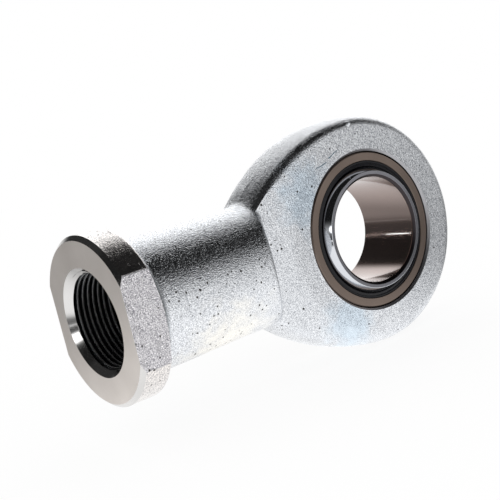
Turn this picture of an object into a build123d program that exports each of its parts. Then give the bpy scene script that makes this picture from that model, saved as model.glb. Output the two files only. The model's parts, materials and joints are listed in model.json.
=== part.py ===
from build123d import *
import os
from math import atan2, cos, pi, radians, sin, sqrt, tan

# Female rod end with a spherical plain bearing. Lengths are in millimetres and angles in degrees.
# The centre of the ball is the origin, the pin's bore runs along Y, the shank runs towards -X
# and Z is up.

# Ball, the bearing's inner ring
bore_dia = 60.0
ball_wall = 10.0  # from the bore to the sphere, where the sphere is widest
ball_width = 44.0
bore_chamfer = 1.0
ball_edge_round = 0.4

# Sliding layer, bonded inside the outer ring
running_clearance = 0.05
liner_thickness = 0.5
liner_margin = 0.2  # from the layer's end to the seal's seat

# Outer ring
ring_wall = 4.45  # from the sliding layer to the outside, where the ring is thinnest
ring_width = 36.0
ring_chamfer = 1.15
ring_edge_break = 0.25
seal_seat_land = 5.6  # width of the ring's end face, with its chamfer
seal_seat_depth = 4.0
groove_depth = 1.0
groove_width = 1.4

# Seals
seal_wall = 1.35
seal_fit = 0.15  # play between the seal and its seat
seal_inset = 0.4  # from the ring's face to the seal's face
bead_play = 0.15
lip_gap = 0.15
lip_tip = 0.35
lip_inset = 0.45  # from a lip's tip to the seal's nearer end

# Housing: head
head_width = 38.0
head_wall = 21.0  # from the bearing's seat to the rim's parting line
flank_radius = 105.0  # curve of the head's sides as they run down to the neck
draft_angle = 7.0
rim_round = 5.0
seat_chamfer = 1.2

# Housing: neck and shank
shank_dia_collar = 69.6
shank_dia_neck = 68.0
neck_drop = 1.8  # how far the head's face sinks towards the shoulder
neck_slope_length = 17.5
slope_blend = 30.0
shoulder_angle = 60.0
shoulder_offset = 2.4  # from where the head's side meets the shank, at the height of the foot
shoulder_foot_round = 3.0
shoulder_edge_round = 3.0
neck_fillet = 8.0
neck_straight = 14.0  # straight length of the shank behind the shoulder
shank_overrun = 35.0  # length of shank kept inside the head

# Housing: collar and thread
reach = 175.0  # from the ball's centre to the mouth's face
collar_dia = 88.0
collar_length = 16.5
collar_back_length = 3.0  # the cone behind the collar
collar_back_foot = 2.7  # from the shank to the foot of that cone
collar_fillet = 3.0
collar_edge_round = 1.5
mouth_chamfer = 2.2
across_flats = 75.0
thread_dia = 52.0
thread_depth = 75.0
thread_chamfer = 2.1
drill_point_angle = 118.0

# Sizes that follow from those above
bore_radius = bore_dia / 2
ball_radius = bore_radius + ball_wall
liner_bore = ball_radius + running_clearance
liner_outside = liner_bore + liner_thickness
ring_radius = liner_outside + ring_wall
ring_half = ring_width / 2
seat_shelf = ring_half - seal_seat_depth
seal_seat_radius = ring_radius - seal_seat_land
head_half = head_width / 2
head_radius = ring_radius + head_wall
flank_centre = head_radius - flank_radius
shank_radius_collar = shank_dia_collar / 2
shank_radius_neck = shank_dia_neck / 2
neck_x = -sqrt(flank_radius**2 - (shank_radius_neck - flank_centre) ** 2)
foot_y = head_half - neck_drop
foot_flank_radius = flank_radius - foot_y * tan(radians(draft_angle))
foot_shank_z = sqrt(shank_radius_neck**2 - foot_y**2)
foot_x = shoulder_offset - sqrt(foot_flank_radius**2 - (foot_shank_z - flank_centre) ** 2)
shoulder_length = (shank_radius_neck - foot_y) / tan(radians(shoulder_angle))
neck_start_x = foot_x - shoulder_length - neck_straight
collar_radius = collar_dia / 2
collar_back_x = -reach + collar_length
flat_y = across_flats / 2
thread_radius = thread_dia / 2

cutter_overrun = 20.0  # how far a cutting solid reaches past what it cuts
tiny = 0.01  # closeness at which two places are the same


def turned(outline, axis):
    """A solid of revolution from a closed outline in the XY plane."""
    return revolve(make_face(outline), axis=axis)


def sphere_radius_at(radius, y):
    """Distance from the bore's axis to a sphere about the origin, at height y along the bore."""
    return sqrt(radius**2 - y**2)


def inner_ring():
    half = ball_width / 2
    face_radius = sphere_radius_at(ball_radius, half)
    outline = Curve() + [
        Line((face_radius, -half), (bore_radius, -half)),
        Line((bore_radius, -half), (bore_radius, half)),
        Line((bore_radius, half), (face_radius, half)),
        ThreePointArc((face_radius, half), (ball_radius, 0), (face_radius, -half)),
    ]
    face = make_face(outline)
    land = face_radius - bore_radius
    bore_corners = face.vertices().sort_by(Axis.X)[:2]
    face = chamfer(bore_corners, min(bore_chamfer, 0.4 * land))
    outer_corners = [v for v in face.vertices() if abs(v.X - face_radius) < tiny]
    face = fillet(outer_corners, min(ball_edge_round, 0.4 * land))
    return revolve(face, axis=Axis.Y)


def sliding_liner():
    end = seat_shelf - liner_margin
    inside = sphere_radius_at(liner_bore, end)
    outside = sphere_radius_at(liner_outside, end)
    outline = Curve() + [
        ThreePointArc((inside, -end), (liner_bore, 0), (inside, end)),
        Line((inside, end), (outside, end)),
        ThreePointArc((outside, end), (liner_outside, 0), (outside, -end)),
        Line((outside, -end), (inside, -end)),
    ]
    return turned(outline, Axis.Y)


def groove_ends():
    """The seal groove's near and far side, as distances from the ring's middle."""
    middle = ring_half - seal_seat_depth / 2 - groove_width / 4
    return middle - groove_width / 2, middle + groove_width / 2


def bearing_outer_ring():
    shelf_radius = sphere_radius_at(liner_outside, seat_shelf)
    groove_near, groove_far = groove_ends()
    groove_radius = seal_seat_radius + groove_depth
    upper = [
        (shelf_radius, seat_shelf),
        (seal_seat_radius, seat_shelf),
        (seal_seat_radius, groove_near),
        (groove_radius, groove_near),
        (groove_radius, groove_far),
        (seal_seat_radius, groove_far),
        (seal_seat_radius, ring_half - ring_edge_break),
        (seal_seat_radius + ring_edge_break, ring_half),
        (ring_radius - ring_chamfer, ring_half),
        (ring_radius, ring_half - ring_chamfer),
    ]
    lower = [(r, -y) for r, y in reversed(upper)]
    outline = Curve() + [
        Polyline(*upper, *lower),
        ThreePointArc(lower[-1], (liner_outside, 0), upper[0]),
    ]
    return turned(outline, Axis.Y)


def seal_front():
    """Double-lip seal in its seat, with a bead in the groove."""
    back = seat_shelf + bead_play
    face = ring_half - seal_inset
    outside = seal_seat_radius - seal_fit
    inside = outside - seal_wall
    groove_near, groove_far = groove_ends()
    bead_near, bead_far = groove_near + bead_play, groove_far - bead_play
    bead_radius = seal_seat_radius + groove_depth - bead_play
    inner_tip, outer_tip = back + lip_inset, face - lip_inset
    inner_lip = sphere_radius_at(ball_radius + lip_gap, inner_tip - lip_tip / 2)
    outer_lip = sphere_radius_at(ball_radius + lip_gap, outer_tip - lip_tip / 2)
    outline = Polyline(
        (outside, back),
        (outside, bead_near),
        (bead_radius, bead_near),
        (bead_radius, bead_far),
        (outside, bead_far),
        (outside, face),
        (inside, face),
        (outer_lip, outer_tip + lip_tip / 2),
        (outer_lip, outer_tip - lip_tip / 2),
        (inside, (back + face) / 2),
        (inner_lip, inner_tip + lip_tip / 2),
        (inner_lip, inner_tip - lip_tip / 2),
        (inside, back),
        close=True,
    )
    return mirror(turned(outline, Axis.Y), Plane.XZ)


def head_outline():
    """The head at its parting line, seen along the bore: a round rim whose sides run to the neck."""
    tip_x = -sqrt(flank_radius**2 - flank_centre**2)
    middle = (pi / 2 + atan2(-flank_centre, tip_x)) / 2
    on_flank = (flank_radius * cos(middle), flank_centre + flank_radius * sin(middle))
    flank = ThreePointArc((0, head_radius), on_flank, (tip_x, 0))
    rim = ThreePointArc((0, -head_radius), (head_radius, 0), (0, head_radius))
    return make_face(Curve() + [rim, flank, mirror(flank, Plane.XZ)])


def head_front():
    """The half of the head in front of the parting plane, with its draft and its rounded rim."""
    parting = Plane(origin=(0, 0, 0), x_dir=(1, 0, 0), z_dir=(0, -1, 0))
    plate = extrude(parting * head_outline(), amount=head_half, taper=draft_angle)
    face_edges = plate.edges().group_by(Axis.Y)[0]
    return fillet(face_edges, rim_round)


def shank_blank():
    """The turned form of the shank and the collar, from the mouth to inside the head."""
    mouth_x = -reach
    cone_x = collar_back_x + collar_back_length
    cone_radius = shank_radius_collar + collar_back_foot
    root_x = cone_x + collar_back_foot
    end_x = neck_x + shank_overrun
    outline = make_face(
        Polyline(
            (mouth_x, 0),
            (mouth_x, collar_radius - mouth_chamfer),
            (mouth_x + mouth_chamfer, collar_radius),
            (collar_back_x, collar_radius),
            (cone_x, cone_radius),
            (root_x, shank_radius_collar),
            (neck_start_x, shank_radius_neck),
            (end_x, shank_radius_neck),
            (end_x, 0),
            close=True,
        )
    )
    root = [v for v in outline.vertices() if abs(v.X - root_x) < tiny]
    outline = fillet(root, collar_fillet)
    return revolve(outline, axis=Axis.X)


def neck_cutter():
    """What is taken off in front of the neck: the head's face sinks a little, then climbs to the shank."""
    slope_x = foot_x + neck_slope_length
    top_y = shank_radius_neck + cutter_overrun
    top_x = foot_x - (top_y - foot_y) / tan(radians(shoulder_angle))
    far_x = head_radius + cutter_overrun
    far_y = top_y + cutter_overrun
    profile = make_face(
        Polyline(
            (slope_x, head_half),
            (foot_x, foot_y),
            (top_x, top_y),
            (top_x, far_y),
            (far_x, far_y),
            (far_x, head_half),
            close=True,
        )
    )
    brow = [v for v in profile.vertices() if abs(v.X - slope_x) < tiny]
    profile = fillet(brow, slope_blend)
    return mirror(extrude(profile, amount=far_x, both=True), Plane.XZ)


def lies_on_neck(edge):
    """Whether an edge lies on the straight round part of the shank."""
    points = [edge @ t for t in (0, 0.3, 0.5, 0.7, 1)]
    return all(abs(sqrt(p.Y**2 + p.Z**2) - shank_radius_neck) < tiny for p in points)


def blend_neck(quarter):
    """Blends the head's side into the shank, cuts the shoulder and rounds its edge and its foot."""
    meeting = [
        e
        for e in quarter.edges().filter_by(lies_on_neck).filter_by(GeomType.CIRCLE, reverse=True)
        if e.center().Y < -tiny and e.center().Z > tiny
    ]
    quarter = fillet(meeting, neck_fillet) - neck_cutter()
    shoulder = quarter.edges().filter_by(GeomType.ELLIPSE)
    quarter = fillet(shoulder, shoulder_edge_round)
    foot = [
        e
        for e in quarter.edges().filter_by(Axis.Z)
        if abs(e.center().X - foot_x) < tiny and abs(e.center().Y + foot_y) < tiny
    ]
    return fillet(foot, shoulder_foot_round)


def cut_flat(quarter):
    """Cuts the spanner flat across the collar and rounds the forged edges beside it."""
    length = collar_length + collar_back_length
    middle = (-reach + length / 2, -flat_y - cutter_overrun / 2, 0)
    quarter = quarter - Pos(*middle) * Box(length, cutter_overrun, 3 * collar_radius)
    beside = [
        e
        for e in quarter.edges().filter_by(Axis.X)
        if abs(e.center().Y + flat_y) < tiny and e.center().Z > tiny
    ]
    behind = [
        e
        for e in quarter.edges().filter_by(GeomType.CIRCLE)
        if abs(e.center().X - collar_back_x) < tiny and e.radius > collar_radius - tiny
    ]
    return fillet(beside + behind, collar_edge_round)


def forging():
    """The whole forging, made of one quarter that is mirrored about the parting plane and upwards."""
    span = 3 * reach
    quadrant = Pos(0, -span / 2, span / 2) * Box(span, span, span)
    quarter = (head_front() + shank_blank()) & quadrant
    quarter = cut_flat(blend_neck(quarter))
    upper = quarter + mirror(quarter, Plane.XZ)
    return upper + mirror(upper, Plane.XY)


def bearing_seat():
    """The bore that holds the bearing, with an entry chamfer at each face of the head."""
    entry_radius = ring_radius + seat_chamfer
    entry_y = head_half - seat_chamfer
    over_y = head_half + cutter_overrun
    outline = Polyline(
        (0, -over_y),
        (entry_radius, -over_y),
        (entry_radius, -head_half),
        (ring_radius, -entry_y),
        (ring_radius, entry_y),
        (entry_radius, head_half),
        (entry_radius, over_y),
        (0, over_y),
        close=True,
    )
    return turned(outline, Axis.Y)


def threaded_hole():
    """The hole for the thread, at the thread's full diameter, with a drilled end."""
    mouth_x = -reach
    entry_radius = thread_radius + thread_chamfer
    bottom_x = mouth_x + thread_depth
    point = thread_radius / tan(radians(drill_point_angle / 2))
    outline = Polyline(
        (mouth_x - cutter_overrun, 0),
        (mouth_x - cutter_overrun, entry_radius),
        (mouth_x, entry_radius),
        (mouth_x + thread_chamfer, thread_radius),
        (bottom_x, thread_radius),
        (bottom_x + point, 0),
        close=True,
    )
    return turned(outline, Axis.X)


def rod_end_housing():
    return forging() - bearing_seat() - threaded_hole()


parts = {
    "rod_end_housing": rod_end_housing(),
    "bearing_outer_ring": bearing_outer_ring(),
    "sliding_liner": sliding_liner(),
    "inner_ring": inner_ring(),
    "seal_front": seal_front(),
    "seal_rear": mirror(seal_front(), Plane.XZ),
}
os.makedirs("parts", exist_ok=True)
for name, part in parts.items():
    export_step(part, f"parts/{name}.step")
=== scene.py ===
import json
import math
import bmesh
import bpy
import numpy as np
from mathutils import Matrix, Vector


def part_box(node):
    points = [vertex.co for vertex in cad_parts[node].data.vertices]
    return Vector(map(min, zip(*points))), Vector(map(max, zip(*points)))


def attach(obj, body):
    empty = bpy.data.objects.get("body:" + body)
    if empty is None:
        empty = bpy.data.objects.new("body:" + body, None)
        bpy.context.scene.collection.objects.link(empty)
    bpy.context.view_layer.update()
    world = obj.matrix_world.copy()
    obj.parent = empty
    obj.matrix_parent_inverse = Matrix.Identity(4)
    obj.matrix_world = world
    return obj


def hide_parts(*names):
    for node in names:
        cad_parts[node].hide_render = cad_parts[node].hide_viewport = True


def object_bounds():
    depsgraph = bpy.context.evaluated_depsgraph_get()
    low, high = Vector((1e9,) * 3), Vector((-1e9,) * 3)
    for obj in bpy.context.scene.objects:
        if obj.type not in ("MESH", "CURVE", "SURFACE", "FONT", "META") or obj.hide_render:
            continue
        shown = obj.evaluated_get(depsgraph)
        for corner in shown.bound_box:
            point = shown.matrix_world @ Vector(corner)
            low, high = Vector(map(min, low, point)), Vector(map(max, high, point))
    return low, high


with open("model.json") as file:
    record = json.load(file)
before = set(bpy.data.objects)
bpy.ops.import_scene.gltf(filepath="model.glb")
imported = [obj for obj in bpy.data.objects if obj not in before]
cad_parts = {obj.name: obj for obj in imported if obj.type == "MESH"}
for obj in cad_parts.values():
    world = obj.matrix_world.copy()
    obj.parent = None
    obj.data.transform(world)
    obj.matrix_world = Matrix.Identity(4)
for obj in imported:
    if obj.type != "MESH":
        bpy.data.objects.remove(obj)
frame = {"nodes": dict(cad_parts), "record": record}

# Rod end bearing: the finish of the forging, the turned and ground faces, the thread, the seals
# and the polished ball. Everything is in metres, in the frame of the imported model.
# The pin's bore runs along Y, the threaded mouth faces -X and Z is up.

mm = 0.001
nodes = frame["nodes"]
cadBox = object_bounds()
floorHeight = cadBox[0][2]
housingLow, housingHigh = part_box("rod_end_housing")
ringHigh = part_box("bearing_outer_ring")[1]
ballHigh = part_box("inner_ring")[1]
mounts = {mount["name"]: mount for mount in frame["record"]["mounts"]}
boreRadius = mounts["ball_bore"]["dims"]["r_mm"] * mm
threadRadius = mounts["rod_thread"]["dims"]["r_mm"] * mm
alongX, alongY = (1, 0, 0), (0, 1, 0)
turnedSharp = math.radians(25)  # a turned piece shows an edge where it bends by more


def addNode(tree, kind, inputs=None, **settings):
    made = tree.nodes.new(kind)
    for name, value in settings.items():
        setattr(made, name, value)
    for key, value in (inputs or {}).items():
        if isinstance(value, bpy.types.NodeSocket):
            tree.links.new(value, made.inputs[key])
        else:
            made.inputs[key].default_value = value
    return made


def calc(tree, operation, a, b=0.0, c=0.0):
    return addNode(tree, "ShaderNodeMath", {0: a, 1: b, 2: c}, operation=operation).outputs[0]


def vectorCalc(tree, operation, a, b=(0, 0, 0), c=(0, 0, 0)):
    made = addNode(tree, "ShaderNodeVectorMath", {0: a, 1: b, 2: c}, operation=operation)
    return made.outputs["Value" if operation in ("DISTANCE", "DOT_PRODUCT", "LENGTH") else "Vector"]


def scaleVector(tree, vector, factor):
    made = addNode(tree, "ShaderNodeVectorMath", {0: vector, "Scale": factor}, operation="SCALE")
    return made.outputs["Vector"]


def axesOf(tree, vector):
    return addNode(tree, "ShaderNodeSeparateXYZ", {0: vector}).outputs


def smoothRange(tree, value, low, high, toLow=0.0, toHigh=1.0):
    made = addNode(tree, "ShaderNodeMapRange", {0: value, 1: low, 2: high, 3: toLow, 4: toHigh},
                   interpolation_type="SMOOTHSTEP")
    return made.outputs[0]


def mixValue(tree, factor, first, second):
    return addNode(tree, "ShaderNodeMix", {0: factor, 2: first, 3: second}, data_type="FLOAT").outputs[0]


def mixColour(tree, factor, first, second, blend="MIX"):
    made = addNode(tree, "ShaderNodeMix", {0: factor, 6: first, 7: second},
                   data_type="RGBA", blend_type=blend)
    return made.outputs[2]


def noise(tree, place, scale, detail=2.0, rough=0.5):
    made = addNode(tree, "ShaderNodeTexNoise",
                   {"Vector": place, "Scale": scale, "Detail": detail, "Roughness": rough})
    return made.outputs[0]


def newGroup(name, inputs, outputs, kind="ShaderNodeTree"):
    group = bpy.data.node_groups.new(name, kind)
    for side, sockets in (("INPUT", inputs), ("OUTPUT", outputs)):
        for socketName, holds in sockets.items():
            group.interface.new_socket(socketName, in_out=side, socket_type="NodeSocket" + holds)
    return group, group.nodes.new("NodeGroupInput").outputs, group.nodes.new("NodeGroupOutput").inputs


def useGroup(tree, group, **inputs):
    return addNode(tree, "ShaderNodeGroup", inputs, node_tree=group).outputs


def newMaterial(name, **values):
    material = bpy.data.materials.new(name)
    material.use_nodes = True
    tree = material.node_tree
    shader = tree.nodes["Principled BSDF"]
    for key, value in values.items():
        shader.inputs[key.replace("_", " ")].default_value = value
    place = addNode(tree, "ShaderNodeTexCoord").outputs["Object"]
    return material, tree, shader, place


def addBump(tree, shader, height, depth, strength=1.0):
    bump = addNode(tree, "ShaderNodeBump", {"Height": height, "Distance": depth, "Strength": strength})
    tree.links.new(bump.outputs[0], shader.inputs["Normal"])


camera = {
    "aim": Vector((-0.0498, 0.0350, -0.0001)),
    "distance": 0.5907,
    "azimuth": math.radians(-35.08),
    "elevation": math.radians(8.41),
    "roll": math.radians(-13.52),
    "lens": 72.57, "sensor": 36.0,  # these two in millimetres
    "shift": (0.0003, 0.0099),
    "nearest": 0.01,
}


def addCamera(setup):
    data = bpy.data.cameras.new("productCamera")
    data.sensor_width = setup["sensor"]
    data.lens = setup["lens"]
    data.shift_x, data.shift_y = setup["shift"]
    data.clip_start = setup["nearest"]
    made = bpy.data.objects.new("productCamera", data)
    turn = (Matrix.Rotation(setup["azimuth"], 4, "Z")
            @ Matrix.Rotation(math.pi / 2 - setup["elevation"], 4, "X")
            @ Matrix.Rotation(setup["roll"], 4, "Z"))
    stepBack = Matrix.Translation((0, 0, setup["distance"]))
    made.matrix_world = Matrix.Translation(setup["aim"]) @ turn @ stepBack
    bpy.context.scene.collection.objects.link(made)
    bpy.context.scene.camera = made


studio = {
    # the tent is white below and dark overhead
    "ceiling": 0.01, "ceilingFrom": -0.05, "ceilingTo": 0.52,
    # direction, full within, gone beyond (degrees), strength
    "flags": [((0.45, -0.88, -0.05), 20, 50, 0.95), ((0.93, -0.36, -0.05), 10, 38, 0.27),
              ((0.55, -0.57, 0.61), 17, 27, 0.005), ((-0.45, 0.76, 0.48), 26, 40, 0.03),
              ((-0.66, 0.74, 0.06), 9, 20, 0.12), ((-0.86, -0.48, -0.05), 14, 27, 0.08)],
    "windows": [((0.6, 0.64, 0.45), 19, 34, 1.5), ((-0.9, -0.34, 0.26), 4, 8.5, 3.0)],
    # a small lit slit behind the part: across which directions it ends, and how far off
    "slit": {
        "towards": (-0.631, 0.715, 0.3),
        "edges": [((-0.646, -0.7, 0.303), 0.0105), ((-0.55, 0, -0.83), 0.015)],
        "soft": 0.2, "reach": 0.1, "strength": 12,
    },
}


def addSlit(tree, direction, level, slit):
    centre = Vector(slit["towards"]).normalized()
    off = vectorCalc(tree, "SUBTRACT", direction, centre)
    share = 1.0
    for edge, half in slit["edges"]:
        away = calc(tree, "ABSOLUTE", vectorCalc(tree, "DOT_PRODUCT", off, Vector(edge).normalized()))
        lit = smoothRange(tree, away, (1 - slit["soft"]) * half, (1 + slit["soft"]) * half, 1.0, 0.0)
        share = calc(tree, "MULTIPLY", share, lit)
    near = calc(tree, "LESS_THAN", vectorCalc(tree, "LENGTH", off), slit["reach"])
    return mixValue(tree, calc(tree, "MULTIPLY", share, near), level, slit["strength"])


def addStudioWorld(setup):
    world = bpy.data.worlds.new("studioWorld")
    bpy.context.scene.world = world
    world.use_nodes = True
    tree = world.node_tree
    tree.nodes.clear()
    direction = addNode(tree, "ShaderNodeTexCoord").outputs["Generated"]
    height = axesOf(tree, direction)[2]
    level = smoothRange(tree, height, setup["ceilingFrom"], setup["ceilingTo"], 1.0, setup["ceiling"])
    for centre, full, gone, strength in setup["flags"] + setup["windows"]:
        facing = vectorCalc(tree, "DOT_PRODUCT", direction, Vector(centre).normalized())
        share = smoothRange(tree, facing, math.cos(math.radians(gone)), math.cos(math.radians(full)))
        level = mixValue(tree, share, level, strength)
    level = addSlit(tree, direction, level, setup["slit"])
    path = addNode(tree, "ShaderNodeLightPath").outputs
    seen = mixValue(tree, path["Is Glossy Ray"], 1.0, level)
    background = addNode(tree, "ShaderNodeBackground", {"Color": (1, 1, 1, 1), "Strength": seen})
    output = addNode(tree, "ShaderNodeOutputWorld")
    tree.links.new(background.outputs[0], output.inputs[0])


whiteSheet = {
    "half": 2.5, "shadowKept": 0.12,
    # how the sheet shows in the reflections: place, full within, gone beyond, level
    "spots": [((-0.15, 0.1), 0.15, 0.4, 1.17), ((0.55, -0.1), 0.38, 0.52, 0.2),
              ((-0.14, 0.23), 0.1, 0.24, 0.55), ((-0.42, 0.5), 0.12, 0.42, 0.25),
              ((-1.7, 1.75), 1.1, 1.5, 0.1), ((-0.66, -0.36), 0.3, 0.46, 0.08)],
}


# white to the camera, dimmed in places for the reflections, and with a little of the real shadow
def makeSheetPaint(setup):
    material = bpy.data.materials.new("whiteFloor")
    material.use_nodes = True
    tree = material.node_tree
    tree.nodes.clear()
    paint = addNode(tree, "ShaderNodeBsdfDiffuse", {"Color": (1, 1, 1, 1)})
    place = addNode(tree, "ShaderNodeTexCoord").outputs["Object"]
    level = 1.0
    for (x, y), full, gone, dimmed in setup["spots"]:
        away = vectorCalc(tree, "DISTANCE", place, (x, y, floorHeight))
        level = mixValue(tree, smoothRange(tree, away, full, gone, 1.0, 0.0), level, dimmed)
    path = addNode(tree, "ShaderNodeLightPath").outputs
    level = mixValue(tree, path["Is Glossy Ray"], 1.0, level)
    glow = addNode(tree, "ShaderNodeEmission", {"Color": (1, 1, 1, 1), "Strength": level})
    seen = calc(tree, "ADD", path["Is Camera Ray"], path["Is Glossy Ray"])
    seen = calc(tree, "ADD", seen, path["Is Transmission Ray"])
    share = calc(tree, "MULTIPLY", seen, 1.0 - setup["shadowKept"])
    mix = addNode(tree, "ShaderNodeMixShader", {0: share, 1: paint.outputs[0], 2: glow.outputs[0]})
    output = addNode(tree, "ShaderNodeOutputMaterial")
    tree.links.new(mix.outputs[0], output.inputs[0])
    return material


def addFloor(setup):
    half = setup["half"]
    corners = [(x * half, y * half, floorHeight) for x, y in ((-1, -1), (1, -1), (1, 1), (-1, 1))]
    mesh = bpy.data.meshes.new("studioFloor")
    mesh.from_pydata(corners, [], [(0, 1, 2, 3)])
    mesh.materials.append(makeSheetPaint(setup))
    floor = bpy.data.objects.new("studioFloor", mesh)
    bpy.context.scene.collection.objects.link(floor)


bpy.context.scene.view_settings.view_transform = "Standard"
addCamera(camera)
addStudioWorld(studio)
addFloor(whiteSheet)
print("studio is set")


forgeGrainShape = {
    "fineScale": 1.15, "fineShare": 0.6, "fineRough": 0.75,
    "speck": (0.36, 0.6), "swellHeight": 0.8,
    # pits sit in cells: their size as a share of a cell, the least that shows, and their soft edge
    "pitScale": 380.0, "pitSize": 0.24, "pitLeast": 0.02, "pitEdge": (-0.03, 0.01),
}


# the blasted and plated skin of a forging: grain, slow swells, pits and dark specks
def makeForgeGrain(shape):
    group, given, result = newGroup(
        "forgeGrain",
        {"Place": "Vector", "Grain": "Float", "Swell": "Float", "Pits": "Float"},
        {"Height": "Float", "Pit": "Float", "Tone": "Float", "Speck": "Float"})
    place = given["Place"]
    grainScale = calc(group, "DIVIDE", 1.0, given["Grain"])
    grain = noise(group, place, grainScale, 1.0)
    fineScale = calc(group, "MULTIPLY", grainScale, shape["fineScale"])
    fine = noise(group, place, fineScale, 2.0, shape["fineRough"])
    fine = calc(group, "MULTIPLY", fine, shape["fineShare"])
    both = calc(group, "MULTIPLY_ADD", grain, 1 - shape["fineShare"], fine)
    swell = noise(group, place, calc(group, "DIVIDE", 1.0, given["Swell"]), 2.0)
    pit = addPits(group, place, given["Pits"], shape)
    height = calc(group, "MULTIPLY_ADD", swell, shape["swellHeight"], grain)
    group.links.new(calc(group, "SUBTRACT", height, pit), result["Height"])
    group.links.new(pit, result["Pit"])
    group.links.new(swell, result["Tone"])
    group.links.new(smoothRange(group, both, *shape["speck"]), result["Speck"])
    return group


def addPits(group, place, share, shape):
    cells = addNode(group, "ShaderNodeTexVoronoi",
                    {"Vector": place, "Scale": shape["pitScale"], "Randomness": 1.0}).outputs
    gate = addNode(group, "ShaderNodeSeparateColor", {0: cells["Color"]}).outputs[0]
    size = smoothRange(group, gate, calc(group, "SUBTRACT", 1.0, share), 1.0, 0.0, shape["pitSize"])
    past = calc(group, "SUBTRACT", cells["Distance"], size)
    pit = smoothRange(group, past, *shape["pitEdge"], 1.0, 0.0)
    return calc(group, "MULTIPLY", pit, calc(group, "GREATER_THAN", size, shape["pitLeast"]))


latheMarkShape = {"coneShare": 0.4, "driftScale": 60.0, "drift": 0.4, "toneScale": 45.0, "rough": 0.7}


# rings about an axis, as a turning tool or a grinding wheel leaves them
def makeLatheMarks(shape):
    group, given, result = newGroup(
        "latheMarks", {"Place": "Vector", "Axis": "Vector", "Pitch": "Float"},
        {"Height": "Float", "Tone": "Float"})
    place, axis = given["Place"], given["Axis"]
    along = vectorCalc(group, "DOT_PRODUCT", place, axis)
    fromAxis = vectorCalc(group, "SUBTRACT", place, scaleVector(group, axis, along))
    radius = vectorCalc(group, "LENGTH", fromAxis)
    reach = calc(group, "MULTIPLY_ADD", along, shape["coneShare"], radius)  # so that a cone has rings too
    drift = noise(group, place, shape["driftScale"], 1.0)
    steps = calc(group, "MULTIPLY_ADD", drift, shape["drift"], calc(group, "DIVIDE", reach, given["Pitch"]))
    rings = addNode(group, "ShaderNodeTexNoise",
                    {"W": steps, "Scale": 1.0, "Detail": 3.0, "Roughness": shape["rough"]},
                    noise_dimensions="1D").outputs[0]
    group.links.new(rings, result["Height"])
    group.links.new(noise(group, place, shape["toneScale"], 3.0), result["Tone"])
    return group


forgeGrain = makeForgeGrain(forgeGrainShape)
latheMarks = makeLatheMarks(latheMarkShape)


forgedFinish = {
    "bright": (0.95, 0.97, 1.0, 1), "blue": (0.77, 0.88, 0.98, 1), "warmHighlight": (1.0, 0.975, 0.915, 1),
    "collar": (0.93, 0.89, 0.86, 1), "band": (0.42, 0.45, 0.43, 1), "flat": (1.0, 0.98, 1.0, 1),
    # the dark blue-grey of the scratches also paints shade into the crease at the shoulder's foot
    "pit": (0.05, 0.045, 0.04, 1), "scratchAndCreaseShade": (0.1, 0.17, 0.23, 1), "blueShare": 0.9,
    "speckDark": (0.4, 0.41, 0.43, 1), "speckCalm": (0.95, 0.95, 0.95, 1),
    "speckFlat": (0.1, 0.1, 0.13, 1),
    "tone": (0.3, 0.7), "roughness": (0.13, 0.19),
    "grain": 0.6 * mm, "grainFlat": 0.42 * mm, "swell": 6 * mm, "depth": 0.28 * mm,
    # share of the cells that hold a pit, and where it changes from the shank's to the head's
    "pitsShank": 0.55, "pitsHead": 0.08, "pitsFlat": 0.75, "pitsCollar": 0.5,
    "pitsFade": (-75 * mm, -55 * mm),
    # how strongly the grain stands up on the collar, the turned band, calm patches and the head's wall
    "collarBump": 0.52, "bandBump": 0.15, "calmBump": 0.7, "wallBump": 2.1,
    # the flats begin under the housing's own width; the others are places along the shank, and the
    # wall's reach is from the parting plane
    "flatFade": (-0.4 * mm, -0.1 * mm), "collarFade": (-158.6 * mm, -157.8 * mm),
    "bandFade": (-155.2 * mm, -153.2 * mm), "wallFade": (-64 * mm, -54 * mm),
    "wallReach": (13 * mm, 16.5 * mm),
    # ragged patches, each with its centre and its reach
    "patchEdge": (0.7, 1.5), "patchNoise": 7 * mm,
    "bluePatches": [((-0.042, -0.019, 0.03), 0.026), ((-0.03, -0.019, -0.045), 0.024)],
    # warm patches on the underside of the shank: painted warm highlight
    "warmHighlightPatches": [((-0.115, -0.02, -0.036), 0.04), ((-0.165, -0.01, -0.04), 0.03)],
    # calm patches on the underside: smoother grain with fewer dark specks, which also paints the underside
    # lighter
    "calmAndLitPatches": [((-0.11, -0.02, -0.045), 0.045), ((-0.165, -0.005, -0.05), 0.03),
                    ((-0.03, 0.01, -0.07), 0.05)],
    # two scratches beside the ring, the dark top of the nub, and a line of painted shade in the crease
    # along the shoulder's foot
    "scratchesAndCreaseShade": [((-0.0309, -0.019, 0.0428), (-0.0229, -0.019, 0.0443)),
                  ((-0.0209, -0.019, 0.0461), (-0.0139, -0.019, 0.0491)),
                  ((-0.0016, -0.0186, 0.0624), (0.0006, -0.02, 0.0618)),
                  ((-0.0744, -0.0172, -0.026), (-0.0744, -0.0172, 0.027))],
    "scratchAndCreaseShadeReach": (0.14 * mm, 0.4 * mm), "wander": 1.2 * mm, "wanderScale": 300.0,
}


def patchMask(tree, place, patches, ragged, edge):
    mask = 0.0
    for centre, reach in patches:
        away = calc(tree, "MULTIPLY_ADD", ragged, reach, vectorCalc(tree, "DISTANCE", place, centre))
        share = smoothRange(tree, away, edge[0] * reach, edge[1] * reach, 1.0, 0.0)
        mask = calc(tree, "MAXIMUM", share, mask)
    return mask


def distanceToLine(tree, place, start, end):
    line = Vector(end) - Vector(start)
    fromStart = vectorCalc(tree, "SUBTRACT", place, Vector(start))
    along = vectorCalc(tree, "DOT_PRODUCT", fromStart, line / line.length_squared)
    along = calc(tree, "MINIMUM", calc(tree, "MAXIMUM", along, 0.0), 1.0)
    return vectorCalc(tree, "DISTANCE", fromStart, scaleVector(tree, line, along))


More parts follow.
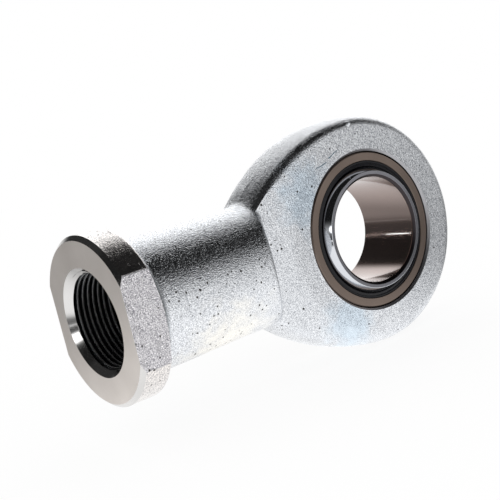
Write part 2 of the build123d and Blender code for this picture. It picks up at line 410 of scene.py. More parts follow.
# where the skin is a flat, the collar, the band behind it, the head's wall or a patch, from 0 to 1,
# and how many pits it has
def forgedZones(tree, place, setup):
    axes = axesOf(tree, place)
    along, offPlane = axes[0], calc(tree, "ABSOLUTE", axes[1])
    flats = smoothRange(tree, offPlane, *[housingHigh.y + y for y in setup["flatFade"]])
    notFlat = calc(tree, "SUBTRACT", 1.0, flats)
    mouthEnd = smoothRange(tree, along, *setup["collarFade"], 1.0, 0.0)
    band = calc(tree, "SUBTRACT", smoothRange(tree, along, *setup["bandFade"], 1.0, 0.0), mouthEnd)
    pits = smoothRange(tree, along, *setup["pitsFade"], setup["pitsShank"], setup["pitsHead"])
    pits = mixValue(tree, mouthEnd, pits, setup["pitsCollar"])
    ragged = noise(tree, place, 1 / setup["patchNoise"], 3)
    zones = {name: patchMask(tree, place, setup[name], ragged, setup["patchEdge"])
             for name in ("bluePatches", "warmHighlightPatches", "calmAndLitPatches")}
    zones["flats"] = flats
    zones["collar"] = calc(tree, "MULTIPLY", mouthEnd, notFlat)
    zones["band"] = calc(tree, "MULTIPLY", band, notFlat)
    zones["wall"] = calc(tree, "MULTIPLY", smoothRange(tree, along, *setup["wallFade"]),
                         smoothRange(tree, offPlane, *setup["wallReach"], 1.0, 0.0))
    zones["pits"] = mixValue(tree, flats, pits, setup["pitsFlat"])
    return zones


def forgedColour(tree, place, zones, grain, setup):
    blue = calc(tree, "MULTIPLY", zones["bluePatches"], setup["blueShare"])
    colour = mixColour(tree, blue, setup["bright"], setup["blue"])
    # the warm tint is a painted highlight; the collar, band and flats tints are the skin's own
    tints = {"warmHighlightPatches": "warmHighlight", "collar": "collar", "band": "band", "flats": "flat"}
    for zone, tint in tints.items():
        colour = mixColour(tree, zones[zone], colour, setup[tint])
    # fewer dark specks in the calm patches and in the band; on the underside's calm patches this is also
    # painted light
    specks = mixColour(tree, zones["calmAndLitPatches"], setup["speckDark"], setup["speckCalm"])
    specks = mixColour(tree, zones["band"], specks, setup["speckCalm"])
    specks = mixColour(tree, zones["flats"], specks, setup["speckFlat"])
    dulled = mixColour(tree, 1.0, colour, specks, blend="MULTIPLY")
    colour = mixColour(tree, grain["Speck"], dulled, colour)
    return addScratchesAndCreaseShade(tree, place, mixColour(tree, grain["Pit"], colour, setup["pit"]), setup)


# scratches, and a line of painted shade in the crease at the shoulder's foot, drawn in one colour along
# wandering lines
def addScratchesAndCreaseShade(tree, place, colour, setup):
    most = setup["wander"]
    drift = addNode(tree, "ShaderNodeTexNoise", {"Vector": place, "Scale": setup["wanderScale"]})
    drift = vectorCalc(tree, "MULTIPLY_ADD", drift.outputs["Color"],
                       (most, 0, most), (-most / 2, 0, -most / 2))
    bent = vectorCalc(tree, "ADD", place, drift)
    for start, end in setup["scratchesAndCreaseShade"]:
        away = distanceToLine(tree, bent, start, end)
        share = smoothRange(tree, away, *setup["scratchAndCreaseShadeReach"], 1.0, 0.0)
        colour = mixColour(tree, share, colour, setup["scratchAndCreaseShade"])
    return colour


def makeForgedSkin(setup):
    material, tree, shader, place = newMaterial("platedForging", Metallic=1.0)
    zones = forgedZones(tree, place, setup)
    finer = setup["grainFlat"] - setup["grain"]
    grainSize = calc(tree, "MULTIPLY_ADD", zones["flats"], finer, setup["grain"])
    grain = useGroup(tree, forgeGrain, Place=place, Grain=grainSize,
                     Swell=setup["swell"], Pits=zones["pits"])
    tree.links.new(forgedColour(tree, place, zones, grain, setup), shader.inputs["Base Color"])
    rough = smoothRange(tree, grain["Tone"], *setup["tone"], *setup["roughness"])
    tree.links.new(rough, shader.inputs["Roughness"])
    strength = 1.0
    bumps = {"collar": "collarBump", "band": "bandBump", "calmAndLitPatches": "calmBump"}
    for zone, bump in bumps.items():
        strength = calc(tree, "MULTIPLY_ADD", zones[zone], setup[bump] - 1.0, strength)
    coarser = calc(tree, "MULTIPLY_ADD", zones["wall"], setup["wallBump"] - 1.0, 1.0)
    addBump(tree, shader, calc(tree, "MULTIPLY", grain["Height"], coarser), setup["depth"], strength)
    return material


turnedTone = {"darkest": 0.8, "range": (0.25, 0.75), "roughSpread": 0.15}


def makeTurnedSteel(name, colour, roughness, axis, pitch, depth):
    material, tree, shader, place = newMaterial(name, Metallic=1.0)
    marks = useGroup(tree, latheMarks, Place=place, Axis=axis, Pitch=pitch)
    darker = tuple(turnedTone["darkest"] * c for c in colour[:3]) + (1,)
    tree.links.new(mixColour(tree, marks["Tone"], colour, darker), shader.inputs["Base Color"])
    spread = turnedTone["roughSpread"]
    rough = smoothRange(tree, marks["Tone"], *turnedTone["range"],
                        roughness * (1 - spread), roughness * (1 + spread))
    tree.links.new(rough, shader.inputs["Roughness"])
    addBump(tree, shader, marks["Height"], depth)
    return material


# distance from one axis, worked out across the two others (0 is X, 1 is Y and 2 is Z)
def radiusAcross(tree, place, first, second):
    axes = axesOf(tree, place)
    square = calc(tree, "MULTIPLY", axes[second], axes[second])
    return calc(tree, "SQRT", calc(tree, "MULTIPLY_ADD", axes[first], axes[first], square))


# darkens a turned piece's colour towards a given radius: painted shade on the ball beside the seal lip, and
# a darker outer edge on the ring
def darkenRim(material, near, far, rimDark):
    tree = material.node_tree
    shader = tree.nodes["Principled BSDF"]
    radius = radiusAcross(tree, addNode(tree, "ShaderNodeTexCoord").outputs["Object"], 0, 2)
    colour = shader.inputs["Base Color"].links[0].from_socket
    rimDarkened = mixColour(tree, smoothRange(tree, radius, near, far), colour, rimDark)
    tree.links.new(rimDarkened, shader.inputs["Base Color"])


rubber = {
    "clean": (0.003, 0.003, 0.004, 1), "dusty": (0.009, 0.009, 0.013, 1), "dust": 2 * mm,
    "tone": (0.3, 0.7), "roughness": (0.26, 0.36), "shine": 0.28, "grain": 0.4 * mm, "depth": 0.01 * mm,
}


def makeSealRubber(setup):
    material, tree, shader, place = newMaterial(
        "sealRubber", Metallic=0.0, Specular_IOR_Level=setup["shine"])
    dust = noise(tree, place, 1 / setup["dust"], 3)
    tree.links.new(mixColour(tree, dust, setup["clean"], setup["dusty"]), shader.inputs["Base Color"])
    rough = smoothRange(tree, dust, *setup["tone"], *setup["roughness"])
    tree.links.new(rough, shader.inputs["Roughness"])
    addBump(tree, shader, noise(tree, place, 1 / setup["grain"], 2), setup["depth"])
    return material


cloth = {"resin": (0.05, 0.045, 0.03, 1), "yarn": (0.16, 0.13, 0.07, 1), "roughness": 0.7,
         "scale": 320.0, "distortion": 0.6, "depth": 0.02 * mm}


def makeLinerCloth(setup):
    material, tree, shader, place = newMaterial("linerCloth", Metallic=0.0, Roughness=setup["roughness"])
    weave = addNode(tree, "ShaderNodeTexWave", {
        "Vector": place, "Scale": setup["scale"], "Distortion": setup["distortion"]}).outputs[1]
    tree.links.new(mixColour(tree, weave, setup["resin"], setup["yarn"]), shader.inputs["Base Color"])
    addBump(tree, shader, weave, setup["depth"])
    return material


thread = {
    "pitch": 3 * mm, "crest": 24.38 * mm, "depth": 72 * mm, "segments": 96,
    "sunk": 0.06 * mm,  # how far the roots stand in from the wall of the drilled hole
    "coneSlack": 0.05 * mm,
    # the dark flank colour is painted shade in the grooves; the lighter crest colour is wear and painted
    # highlight
    "flank": (0.09, 0.095, 0.1, 1), "wornAndLitCrest": (0.5, 0.5, 0.5, 1), "wornAndLitCrestFade": (0.02 * mm, 0.16 * mm),
    "roughness": (0.22, 0.42), "markPitch": 0.2 * mm, "markDepth": 0.006 * mm,
}


# painted shade: near-black flanks in the thread's grooves, under lighter crests that are worn and painted
# as highlight lines
def makeThreadSteel(setup):
    material, tree, shader, place = newMaterial("threadSteel", Metallic=1.0)
    marks = useGroup(tree, latheMarks, Place=place, Axis=alongX, Pitch=setup["markPitch"])
    near, far = setup["wornAndLitCrestFade"]
    radius = radiusAcross(tree, place, 1, 2)
    crest = smoothRange(tree, radius, setup["crest"] + near, setup["crest"] + far, 1.0, 0.0)
    tree.links.new(mixColour(tree, crest, setup["flank"], setup["wornAndLitCrest"]), shader.inputs["Base Color"])
    rough = smoothRange(tree, crest, 0.0, 1.0, *setup["roughness"])
    tree.links.new(rough, shader.inputs["Roughness"])
    addBump(tree, shader, marks["Height"], setup["markDepth"])
    return material


# colour, roughness, axis of the turning, pitch and depth of its marks
steels = {
    "ringSteel": ((0.24, 0.19, 0.162, 1), 0.32, alongY, 0.3 * mm, 0.004 * mm),
    "mouthSteel": ((0.88, 0.82, 0.77, 1), 0.36, alongX, 0.22 * mm, 0.004 * mm),
    "chamferSteel": ((0.74, 0.73, 0.72, 1), 0.13, alongX, 0.5 * mm, 0.003 * mm),
    "seatSteel": ((0.5, 0.5, 0.52, 1), 0.35, alongY, 0.3 * mm, 0.003 * mm),
    "chromedBall": ((0.72, 0.74, 0.78, 1), 0.05, alongY, 0.3 * mm, 0.0002 * mm),
    "ballFaceSteel": ((0.27, 0.27, 0.295, 1), 0.22, alongY, 0.2 * mm, 0.002 * mm),
    "boreEdgeSteel": ((0.06, 0.052, 0.055, 1), 0.3, alongY, 0.2 * mm, 0.002 * mm),
    "boreSteel": ((0.28, 0.2, 0.175, 1), 0.2, alongY, 0.5 * mm, 0.002 * mm),
}
# from which radius the darkening begins, where it is full, and its colour: the ring darkens towards its
# outer edge, the chrome ball gets painted shade beside the seal lip
rims = {
    "ringSteel": (ringHigh.x - 0.75 * mm, ringHigh.x - 0.35 * mm, (0.012, 0.011, 0.01, 1)),
    # painted shade on the chrome beside the seal lip
    "chromedBall": (35.1 * mm, 36.0 * mm, (0.03, 0.03, 0.04, 1)),
}
boreOil = {"Coat Weight": 1.0, "Coat Roughness": 0.03, "Coat IOR": 1.75}

turned = {name: makeTurnedSteel(name, *values) for name, values in steels.items()}
for name, values in rims.items():
    darkenRim(turned[name], *values)
for key, value in boreOil.items():
    turned["boreSteel"].node_tree.nodes["Principled BSDF"].inputs[key].default_value = value
forgedSkin = makeForgedSkin(forgedFinish)
threadSteel = makeThreadSteel(thread)
sealRubber = makeSealRubber(rubber)
linerCloth = makeLinerCloth(cloth)
print("finishes are made")


def dress(name, material):
    mesh = nodes[name].data
    mesh.materials.clear()
    mesh.materials.append(material)


dress("bearing_outer_ring", turned["ringSteel"])
dress("sliding_liner", linerCloth)
print("ring and liner are dressed")


housing = {
    # longest edges of the refined skin: in general, beside the parting line, round the nub
    "edge": 2.1 * mm, "seamEdge": 0.9 * mm, "seamBand": 2.4 * mm, "nubEdge": 0.4 * mm,
    "passes": 80, "weld": 0.002 * mm,
    "smooth": math.cos(math.radians(7)), "bend": 0.25, "sharp": math.radians(28),
    "swell": 6 * mm, "swellDepth": 0.1 * mm, "seamWidth": 0.9 * mm, "seamHeight": 0.05 * mm,
    # the head's side wall leans by the draft; it begins behind the neck, or where it faces the shank
    "draft": math.radians(7), "neck": -78 * mm, "wall": (-60 * mm, -50 * mm),
    "wallTurn": (0.15, 0.5), "faceTurn": (0.12, 0.9),
    # as built, the head's faces drop over dropLength ahead of the shoulder's foot
    "foot": -74.5 * mm, "drop": 1.8 * mm, "dropLength": 17.5 * mm, "footBlend": 5 * mm,
    # as forged, they fall in rings round a boss on the side of the neck
    "bossRadius": 58.5 * mm, "bossBlend": 2.5 * mm, "bossSlope": 0.135,
    "neckSide": (8 * mm, 32 * mm), "faceSide": (7 * mm, 16 * mm),
    "nub": (-0.0006, -0.0182, 0.0616), "nubReach": 2.2 * mm, "nubHeight": 1.5 * mm,
}
# how the faces of the solid are told apart
zoneLimits = {
    "mouth": 0.01 * mm, "chamfers": 3 * mm, "chamferSplit": 35 * mm, "threadFrom": -90 * mm,
    "threadWall": 0.1 * mm, "seat": 1.3 * mm, "steep": 0.5, "flat": 0.9,
}
housingZones = {
    "forged": forgedSkin, "mouthFace": turned["mouthSteel"], "mouthChamfer": turned["chamferSteel"],
    "entryChamfer": turned["chamferSteel"], "threadWall": threadSteel, "bearingSeat": turned["seatSteel"],
}


def zoneOf(middle, normal, limits):
    fromX, fromY = math.hypot(middle[1], middle[2]), math.hypot(middle[0], middle[2])
    if middle[0] < housingLow.x + limits["mouth"]:
        return "mouthFace"
    if normal[0] < -limits["steep"] and middle[0] < housingLow.x + limits["chamfers"]:
        return "mouthChamfer" if fromX > limits["chamferSplit"] else "entryChamfer"
    if middle[0] < limits["threadFrom"] and fromX < threadRadius + limits["threadWall"]:
        return "threadWall"
    if fromY < ringHigh.x + limits["seat"] and abs(normal[1]) < limits["flat"]:
        return "bearingSeat"
    return "forged"


def unitRows(rows):
    return rows / np.maximum(np.linalg.norm(rows, axis=-1, keepdims=True), 1e-12)


def smoothStep(value, low, high):
    share = np.clip((value - low) / (high - low), 0.0, 1.0)
    return share * share * (3 - 2 * share)


# one value of every element of a mesh, as a flat row of numbers
def readOut(elements, name, width, kind=float):
    values = np.zeros(len(elements) * width, kind)
    elements.foreach_get(name, values)
    return values


# the points, triangles and corner normals of a CAD node, with coincident points merged
def weldedTriangles(node, weld):
    mesh = nodes[node].data
    mesh.calc_loop_triangles()
    places = readOut(mesh.vertices, "co", 3).reshape(-1, 3)
    normals = readOut(mesh.corner_normals, "vector", 3).reshape(-1, 3)
    corners = readOut(mesh.loop_triangles, "vertices", 3, int)
    loops = readOut(mesh.loop_triangles, "loops", 3, int)
    first, merged = np.unique(np.round(places / weld).astype(int), axis=0,
                              return_index=True, return_inverse=True)[1:]
    triangles = merged.ravel()[corners].reshape(-1, 3)
    whole = ((triangles[:, 0] != triangles[:, 1]) & (triangles[:, 1] != triangles[:, 2])
             & (triangles[:, 2] != triangles[:, 0]))
    return places[first], triangles[whole], normals[loops].reshape(-1, 3, 3)[whole]


# every edge once: its ends, its middle, its number beside each corner of each triangle, and
# which corners run along it backwards
def edgesOf(points, triangles):
    ends = np.stack((triangles, np.roll(triangles, -1, axis=1)), axis=2).reshape(-1, 2)
    low, high = ends.min(axis=1), ends.max(axis=1)
    first, number = np.unique(low * len(points) + high, return_index=True, return_inverse=True)[1:]
    low, high = low[first], high[first]
    return {"low": low, "high": high, "middle": (points[low] + points[high]) / 2,
            "number": number.reshape(-1, 3), "backwards": (ends[:, 0] > ends[:, 1])[:, None]}


def longestAllowed(middle, setup):
    limit = np.where(np.abs(middle[:, 1]) < setup["seamBand"], setup["seamEdge"], setup["edge"])
    fromNub = np.linalg.norm(middle - setup["nub"], axis=1)
    return np.where(fromNub < 2 * setup["nubReach"], setup["nubEdge"], limit)


# each triangle's longest edge that is too long, and the edges that all their triangles chose
def edgesToHalve(points, edges, zones, setup):
    number, count = edges["number"], len(edges["low"])
    length = np.linalg.norm(points[edges["high"]] - points[edges["low"]], axis=1)
    forged = np.bincount(number.ravel(), np.repeat(zones == 0, 3), count) > 0
    rank = np.zeros(count)
    rank[np.argsort(length, kind="stable")] = np.arange(1, count + 1)
    rank[(length <= longestAllowed(edges["middle"], setup)) | ~forged] = 0
    best = rank[number].argmax(axis=1)
    votes = np.bincount(number[np.arange(len(number)), best], minlength=count)
    return best, (rank > 0) & (votes == np.bincount(number.ravel(), minlength=count))


# A new point of a smooth edge goes onto the round skin that the normals at its ends belong to.
def roundedMiddles(points, edges, normals, setup):
    number, count = edges["number"].ravel(), len(edges["low"])
    here, following = normals.reshape(-1, 3), np.roll(normals, -1, axis=1).reshape(-1, 3)
    atLow, atHigh = np.zeros((2, count, 3))
    np.add.at(atLow, number, np.where(edges["backwards"], following, here))
    np.add.at(atHigh, number, np.where(edges["backwards"], here, following))
    agree = np.minimum(np.linalg.norm(atLow, axis=1), np.linalg.norm(atHigh, axis=1))
    smooth = (agree / np.bincount(number, minlength=count) > setup["smooth"])[:, None]
    middle = edges["middle"].copy()
    for corner, normal in ((edges["low"], unitRows(atLow)), (edges["high"], unitRows(atHigh))):
        lift = ((middle - points[corner]) * normal).sum(axis=1, keepdims=True)
        middle -= setup["bend"] * lift * normal * smooth
    return middle


# halves the edges that are too long, the longest of each triangle first
def halveLongest(points, triangles, normals, zones, setup):
    edges = edgesOf(points, triangles)
    best, chosen = edgesToHalve(points, edges, zones, setup)
    if not chosen.any():
        return None
    middle = roundedMiddles(points, edges, normals, setup)
    newPoint = np.cumsum(chosen) - 1 + len(points)
    bestEdge = edges["number"][np.arange(len(triangles)), best]
    split = chosen[bestEdge]
    rows, a, new = np.nonzero(split)[0], best[split], newPoint[bestEdge[split]]
    b, c = (a + 1) % 3, (a + 2) % 3
    newNormal = unitRows(normals[rows, a] + normals[rows, b])
    one = np.stack((triangles[rows, a], new, triangles[rows, c]), axis=1)
    other = np.stack((new, triangles[rows, b], triangles[rows, c]), axis=1)
    oneNormals = np.stack((normals[rows, a], newNormal, normals[rows, c]), axis=1)
    otherNormals = np.stack((newNormal, normals[rows, b], normals[rows, c]), axis=1)
    return (np.concatenate((points, middle[chosen])),
            np.concatenate((triangles[~split], one, other)),
            np.concatenate((normals[~split], oneNormals, otherNormals)),
            np.concatenate((zones[~split], zones[split], zones[split])))


reliefShape = {"swell": (0.2, 0.8), "swellDetail": 1.5,
               "ragScale": 260.0, "ragSpread": 2.4, "ragLeast": -0.6, "fade": 2 * mm}


def makeReliefTree(shape):
    group, put, result = newGroup(
        "forgedRelief",
        {"Geometry": "Geometry", "Swell": "Float", "Swell Depth": "Float", "Seam Width": "Float",
         "Seam Height": "Float"},
        {"Geometry": "Geometry"}, kind="GeometryNodeTree")
    place = addNode(group, "GeometryNodeInputPosition").outputs[0]
    mask = addNode(group, "GeometryNodeInputNamedAttribute", {"Name": "forged"}, data_type="FLOAT")
    swell = noise(group, place, calc(group, "DIVIDE", 1.0, put["Swell"]), shape["swellDetail"])
    dip = calc(group, "MULTIPLY", smoothRange(group, swell, *shape["swell"]), put["Swell Depth"])
    # the trimmed flash stands at full height along the parting plane, the skin beside it lies lower
    ragged = noise(group, place, shape["ragScale"], 2.0)
    wide = calc(group, "MULTIPLY_ADD", ragged, shape["ragSpread"], shape["ragLeast"])
    wide = calc(group, "MULTIPLY", put["Seam Width"], wide)
    offPlane = calc(group, "ABSOLUTE", axesOf(group, place)[1])
    past = smoothRange(group, offPlane, calc(group, "MULTIPLY", wide, 0.5),
                       calc(group, "ADD", wide, shape["fade"]))
    drop = calc(group, "MULTIPLY", past, calc(group, "ADD", put["Seam Height"], dip))
    drop = calc(group, "MULTIPLY", calc(group, "MULTIPLY", drop, mask.outputs[0]), -1.0)
    normal = addNode(group, "GeometryNodeInputNormal").outputs[0]
    moved = addNode(group, "GeometryNodeSetPosition", {
        "Geometry": put["Geometry"], "Offset": scaleVector(group, normal, drop)})
    group.links.new(moved.outputs[0], result["Geometry"])
    return group


# runs a geometry tree on a start mesh and gives the plain mesh that it makes
def builtMesh(name, start, group, values):
    holder = bpy.data.objects.new(name + "Holder", start)
    bpy.context.scene.collection.objects.link(holder)
    modifier = holder.modifiers.new("build", "NODES")
    modifier.node_group = group
    sockets = {item.name: item.identifier for item in group.interface.items_tree
               if item.in_out == "INPUT"}
    for key, value in values.items():
        modifier[sockets[key]] = value
    graph = bpy.context.evaluated_depsgraph_get()
    mesh = bpy.data.meshes.new_from_object(holder.evaluated_get(graph))
    mesh.name = name
    bpy.data.objects.remove(holder)
    bpy.data.meshes.remove(start)
    return mesh


def addPiece(name, mesh, body, slot, *replaced):
    piece = bpy.data.objects.new(name, mesh)
    bpy.context.scene.collection.objects.link(piece)
    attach(piece, body)
    if replaced:
        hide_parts(*replaced)
    return piece


# how far a point of the head's faces moves across, from the slope as built to the forged rings
def faceDrop(points, setup):
    ahead = np.clip(setup["foot"] + setup["dropLength"] - points[:, 0], 0.0, setup["dropLength"])
    asBuilt = setup["drop"] / setup["dropLength"] * ahead
    past = np.hypot(points[:, 0], points[:, 2]) - setup["bossRadius"]
    blend = setup["bossBlend"]
    bent = np.maximum(past + blend, 0.0) ** 2 / (4 * blend)
    fall = setup["bossSlope"] * np.where(past > blend, past, bent)
    fall *= smoothStep(-points[:, 0], *setup["neckSide"])
    share = smoothStep(np.abs(points[:, 1]), *setup["faceSide"])
    share *= smoothStep(points[:, 0], setup["foot"] - setup["footBlend"], setup["foot"])
    return -np.sign(points[:, 1]) * (fall - asBuilt) * share


# The head's side wall is a little barrelled between its rims and the parting plane, and the
# trimmed flash left one nub on the rim.
def shapeForged(points, triangles, normals, mask, setup):
    facing = np.zeros_like(points)
    np.add.at(facing, triangles.ravel(), normals.reshape(-1, 3))
    facing = unitRows(facing)
    half = np.abs(points[points[:, 0] > 0, 1]).max()
    offPlane = np.minimum(np.abs(points[:, 1]), half)
    bulge = math.tan(setup["draft"]) * (offPlane - offPlane ** 2 / half)
    towardsShank = smoothStep(-facing[:, 0], *setup["wallTurn"]) * (points[:, 0] > setup["neck"])
    wall = np.maximum(smoothStep(points[:, 0], *setup["wall"]), towardsShank)
    wall *= mask * (1 - smoothStep(np.abs(facing[:, 1]), *setup["faceTurn"]))
    points = points + faceDrop(points, setup)[:, None] * mask[:, None] * (0, 1, 0)
    fromNub = np.linalg.norm(points - setup["nub"], axis=1) / setup["nubReach"]
    nub = setup["nubHeight"] * (1 - np.minimum(fromNub, 1) ** 2) ** 2
    return points + unitRows(facing * (1, 0, 1)) * (bulge * wall)[:, None] + facing * nub[:, None]


def refinedSkin(setup, zoneNames):
    points, triangles, normals = weldedTriangles("rod_end_housing", setup["weld"])
    centres, facing = points[triangles].mean(axis=1), unitRows(normals.mean(axis=1))
    zones = np.array([zoneNames.index(zoneOf(c, n, zoneLimits)) for c, n in zip(centres, facing)])
    skin = (points, triangles, normals, zones)
    for step in range(setup["passes"]):
        finer = halveLongest(*skin, setup)
        if finer is None:
            break
        skin = finer
    print("housing refined in", step, "passes:", len(skin[1]), "triangles")
    return skin


def dressHousing(setup, finishes):
    points, triangles, normals, zones = refinedSkin(setup, list(finishes))
    mask = np.ones(len(points))
    mask[triangles[zones > 0].ravel()] = 0.0
    points = shapeForged(points, triangles, normals, mask, setup)
    start = bpy.data.meshes.new("forgedHousingStart")
    start.from_pydata(points.tolist(), [], triangles.tolist())
    start.attributes.new("forged", "FLOAT", "POINT").data.foreach_set("value", mask)
    for finish in finishes.values():
        start.materials.append(finish)
    start.polygons.foreach_set("material_index", zones)
    start.shade_smooth()
    start.set_sharp_from_angle(angle=setup["sharp"])
    mesh = builtMesh("forgedHousing", start, makeReliefTree(reliefShape), {
        "Swell": setup["swell"], "Swell Depth": setup["swellDepth"],
        "Seam Width": setup["seamWidth"], "Seam Height": setup["seamHeight"]})
    return addPiece("forgedHousing", mesh, "housing", "plated_forging", "rod_end_housing")


housingPiece = dressHousing(housing, housingZones)
print("housing is dressed:", len(housingPiece.data.polygons), "faces")


# turns a closed outline of (radius, height, finish) about Y
def latheMesh(name, outline, segments, finishes):
    made = bmesh.new()
    turns = np.linspace(0, math.tau, segments, endpoint=False)
    rings = [[made.verts.new((radius * math.cos(a), height, radius * math.sin(a)))
              for radius, height in [point[:2] for point in outline]] for a in turns]
    for ring, following in zip(rings, rings[1:] + rings[:1]):
        for j, point in enumerate(outline):
            k = (j + 1) % len(outline)
            face = made.faces.new((ring[j], ring[k], following[k], following[j]))
            face.material_index = point[2]
    bmesh.ops.recalc_face_normals(made, faces=made.faces)
    mesh = bpy.data.meshes.new(name)
    made.to_mesh(mesh)
    made.free()
    for finish in finishes:
        mesh.materials.append(finish)
    mesh.shade_smooth()
    mesh.set_sharp_from_angle(angle=turnedSharp)
    return mesh


ball = {"segments": 288, "arcSteps": 56, "arcStop": 0.004, "chamfer": 1.5 * mm, "rounding": 0.15 * mm}
ballFinishes = [turned[name] for name in ("chromedBall", "ballFaceSteel", "boreSteel", "boreEdgeSteel")]


# From the front face's outer edge over the sphere to the rear face, and back along the bore. Each
# corner is slanted a little, and a ring beside it keeps the shine of the long faces straight.
def ballOutline(shape):
    sphere, end, bore, edge = range(len(ballFinishes))
    radius, half, soft = ballHigh.x, ballHigh.y, shape["rounding"]
    endRadius = math.sqrt(radius ** 2 - half ** 2)
    tilt = math.asin(half / radius) - shape["arcStop"]
    arc = [(radius * math.cos(a), radius * math.sin(a), sphere)
           for a in np.linspace(-tilt, tilt, shape["arcSteps"])]
    lip, deep = boreRadius + shape["chamfer"], half - shape["chamfer"]
    rear = [(endRadius - soft, half, end), (endRadius - 2 * soft, half, end),
            (lip + 1.5 * soft, half, end), (lip + 0.5 * soft, half, end),
            (lip - 0.5 * soft, half - 0.5 * soft, edge),
            (boreRadius + 0.4 * soft, deep + 0.4 * soft, bore),
            (boreRadius, deep - soft, bore), (boreRadius, deep - 3 * soft, bore)]
    frontZones = (bore, bore, edge, end, end, end, end, sphere)
    return arc + rear + [(point[0], -point[1], zone) for point, zone in zip(reversed(rear), frontZones)]


def addBall(shape):
    mesh = latheMesh("ballDressed", ballOutline(shape), shape["segments"], ballFinishes)
    addPiece("ballDressed", mesh, "ball", "chromed_ball", "inner_ring")


addBall(ball)
print("ball is turned")


seal = {
    "outside": 39.25 * mm, "face": 17.6 * mm, "back": 14.15 * mm, "segments": 192,
    "web": 1.5 * mm, "lipInset": 0.45 * mm, "clearance": 0.12 * mm,
    # corners in millimetres: the rim from the face's outer edge, and each lip from its tip
    "rim": [(0, -0.2), (-0.2, 0), (-0.9, 0), (-1.05, -0.12), (-1.15, -0.45), (-1.35, -0.5)],
    "frontLip": [(0.5, 0.28), (0.12, 0.16), (0, 0), (0.25, -0.3)],
    "rearLip": [(0.25, 0.3), (0, 0), (0.3, -0.2)],
}


def cornersAt(radius, height, offsets):
    return [(radius + r * mm, height + y * mm) for r, y in offsets]


def sealOutline(shape):
    out, face, back = shape["outside"], shape["face"], shape["back"]
    web = out - shape["web"]
    lips = []
    for height, offsets in ((face - shape["lipInset"], shape["frontLip"]),
                            (back + shape["lipInset"], shape["rearLip"])):
        tip = math.sqrt((ballHigh.x + shape["clearance"]) ** 2 - height ** 2)
        lips.append(cornersAt(tip, height, offsets))
    return ([(out, back)] + cornersAt(out, face, shape["rim"]) + lips[0]
            + [(web, (face + back) / 2)] + lips[1] + [(web, back)])


def addSeal(name, node, side):
    outline = [(r, side * y, 0) for r, y in sealOutline(seal)]
    mesh = latheMesh(name, outline, seal["segments"], [sealRubber])
    addPiece(name, mesh, "housing", "seal_rubber", node)


addSeal("sealFrontDressed", "seal_front", -1)
addSeal("sealRearDressed", "seal_rear", 1)
print("seals are turned")


threadProfile = {
    "perTurn": 16.0,  # rows of faces in a pitch
    "rootFlat": 0.125, "crestFlat": 0.25,  # shares of a pitch
    "nudge": 0.001, "weld": 0.005 * mm,
}


# where a point of the flat sheet goes: along the sheet one unit is one pitch, across it one turn
def woundPlace(group, put, turns, profile):
    flat = axesOf(group, addNode(group, "GeometryNodeInputPosition").outputs[0])
    phase = calc(group, "MULTIPLY_ADD", turns, 0.5, flat[0])
    around = calc(group, "ADD", flat[1], 0.5)
    inside = calc(group, "SUBTRACT", calc(group, "ADD", phase, around), 1.0)
    inside = calc(group, "MAXIMUM", calc(group, "MULTIPLY", inside, put["Pitch"]), put["Entry"])
    inside = calc(group, "MINIMUM", inside, put["Depth"])
    wave = calc(group, "FRACT", calc(group, "ADD", phase, profile["nudge"]))
    wave = calc(group, "MULTIPLY", calc(group, "ABSOLUTE", calc(group, "SUBTRACT", wave, 0.5)), 2.0)
    root = calc(group, "SUBTRACT", put["Root"], put["Sunk"])
    radius = addNode(group, "ShaderNodeMapRange", {
        0: wave, 1: profile["rootFlat"], 2: 1 - profile["crestFlat"], 3: root, 4: put["Crest"]}).outputs[0]
    # the entry cone cuts the first turns down, and the ridge dies out at the deep end
    cone = calc(group, "SUBTRACT", calc(group, "ADD", put["Root"], put["Entry"]), inside)
    runOut = calc(group, "SUBTRACT", calc(group, "ADD", inside, root), put["Depth"])
    radius = calc(group, "MAXIMUM", radius, calc(group, "MAXIMUM", cone, runOut))
    angle = calc(group, "MULTIPLY", around, math.tau)
    return addNode(group, "ShaderNodeCombineXYZ", {
        0: calc(group, "ADD", inside, put["Mouth"]),
        1: calc(group, "MULTIPLY", radius, calc(group, "COSINE", angle)),
        2: calc(group, "MULTIPLY", radius, calc(group, "SINE", angle))}).outputs[0]


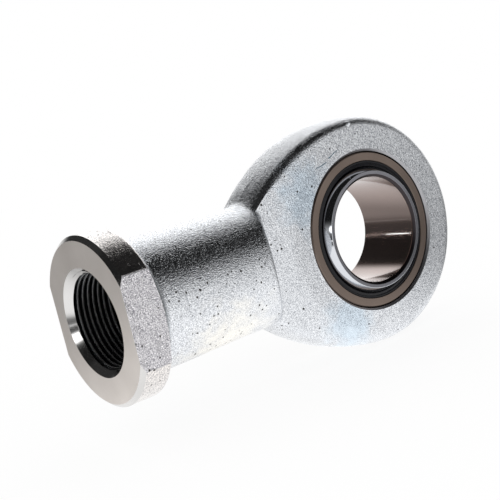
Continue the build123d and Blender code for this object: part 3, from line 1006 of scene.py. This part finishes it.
def makeThreadTree(profile):
    group, put, result = newGroup(
        "threadWall",
        {"Geometry": "Geometry", "Pitch": "Float", "Root": "Float", "Crest": "Float", "Sunk": "Float",
         "Mouth": "Float", "Entry": "Float", "Depth": "Float", "Segments": "Int", "Material": "Material"},
        {"Geometry": "Geometry"}, kind="GeometryNodeTree")
    turns = calc(group, "CEIL", calc(group, "DIVIDE", put["Depth"], put["Pitch"]))
    turns = calc(group, "ADD", turns, 1.0)
    wall = addNode(group, "GeometryNodeMeshGrid", {
        "Size X": turns, "Size Y": 1.0,
        "Vertices X": calc(group, "MULTIPLY_ADD", turns, profile["perTurn"], 1.0),
        "Vertices Y": calc(group, "ADD", put["Segments"], 1.0)})
    wound = woundPlace(group, put, turns, profile)
    wall = addNode(group, "GeometryNodeSetPosition", {0: wall.outputs[0], "Position": wound})
    wall = addNode(group, "GeometryNodeMergeByDistance", {0: wall.outputs[0], "Distance": profile["weld"]})
    wall = addNode(group, "GeometryNodeRealizeInstances", {0: wall.outputs[0]})
    wall = addNode(group, "GeometryNodeSetMaterial", {0: wall.outputs[0], "Material": put["Material"]})
    group.links.new(wall.outputs[0], result["Geometry"])
    return group


# the entry cone of the thread has the finish of the mouth's chamfers
def paintCone(mesh, mouth, entry, setup):
    mesh.materials.clear()
    mesh.materials.append(threadSteel)
    mesh.materials.append(turned["chamferSteel"])
    centres = readOut(mesh.polygons, "center", 3).reshape(-1, 3)
    inside = centres[:, 0] - mouth
    cone = threadRadius + entry - inside - setup["coneSlack"]
    onCone = np.hypot(centres[:, 1], centres[:, 2]) > cone
    nearMouth = inside < entry + threadRadius - setup["crest"]
    mesh.polygons.foreach_set("material_index", (onCone & nearMouth).astype(int))


def addThread(setup):
    mouth, mount = housingLow.x, mounts["rod_thread"]
    entry = mount["pos_m"][0] - mount["dims"]["length_mm"] * mm / 2 - mouth
    start = bpy.data.meshes.new("rodThreadStart")
    mesh = builtMesh("rodThread", start, makeThreadTree(threadProfile), {
        "Pitch": setup["pitch"], "Root": threadRadius, "Crest": setup["crest"], "Sunk": setup["sunk"],
        "Mouth": mouth, "Entry": entry, "Depth": setup["depth"], "Segments": setup["segments"],
        "Material": threadSteel})
    paintCone(mesh, mouth, entry, setup)
    mesh.shade_smooth()
    mesh.set_sharp_from_angle(angle=turnedSharp)
    return addPiece("rodThread", mesh, "housing", "plated_forging")


threadPiece = addThread(thread)
print("thread is cut:", len(threadPiece.data.polygons), "faces")
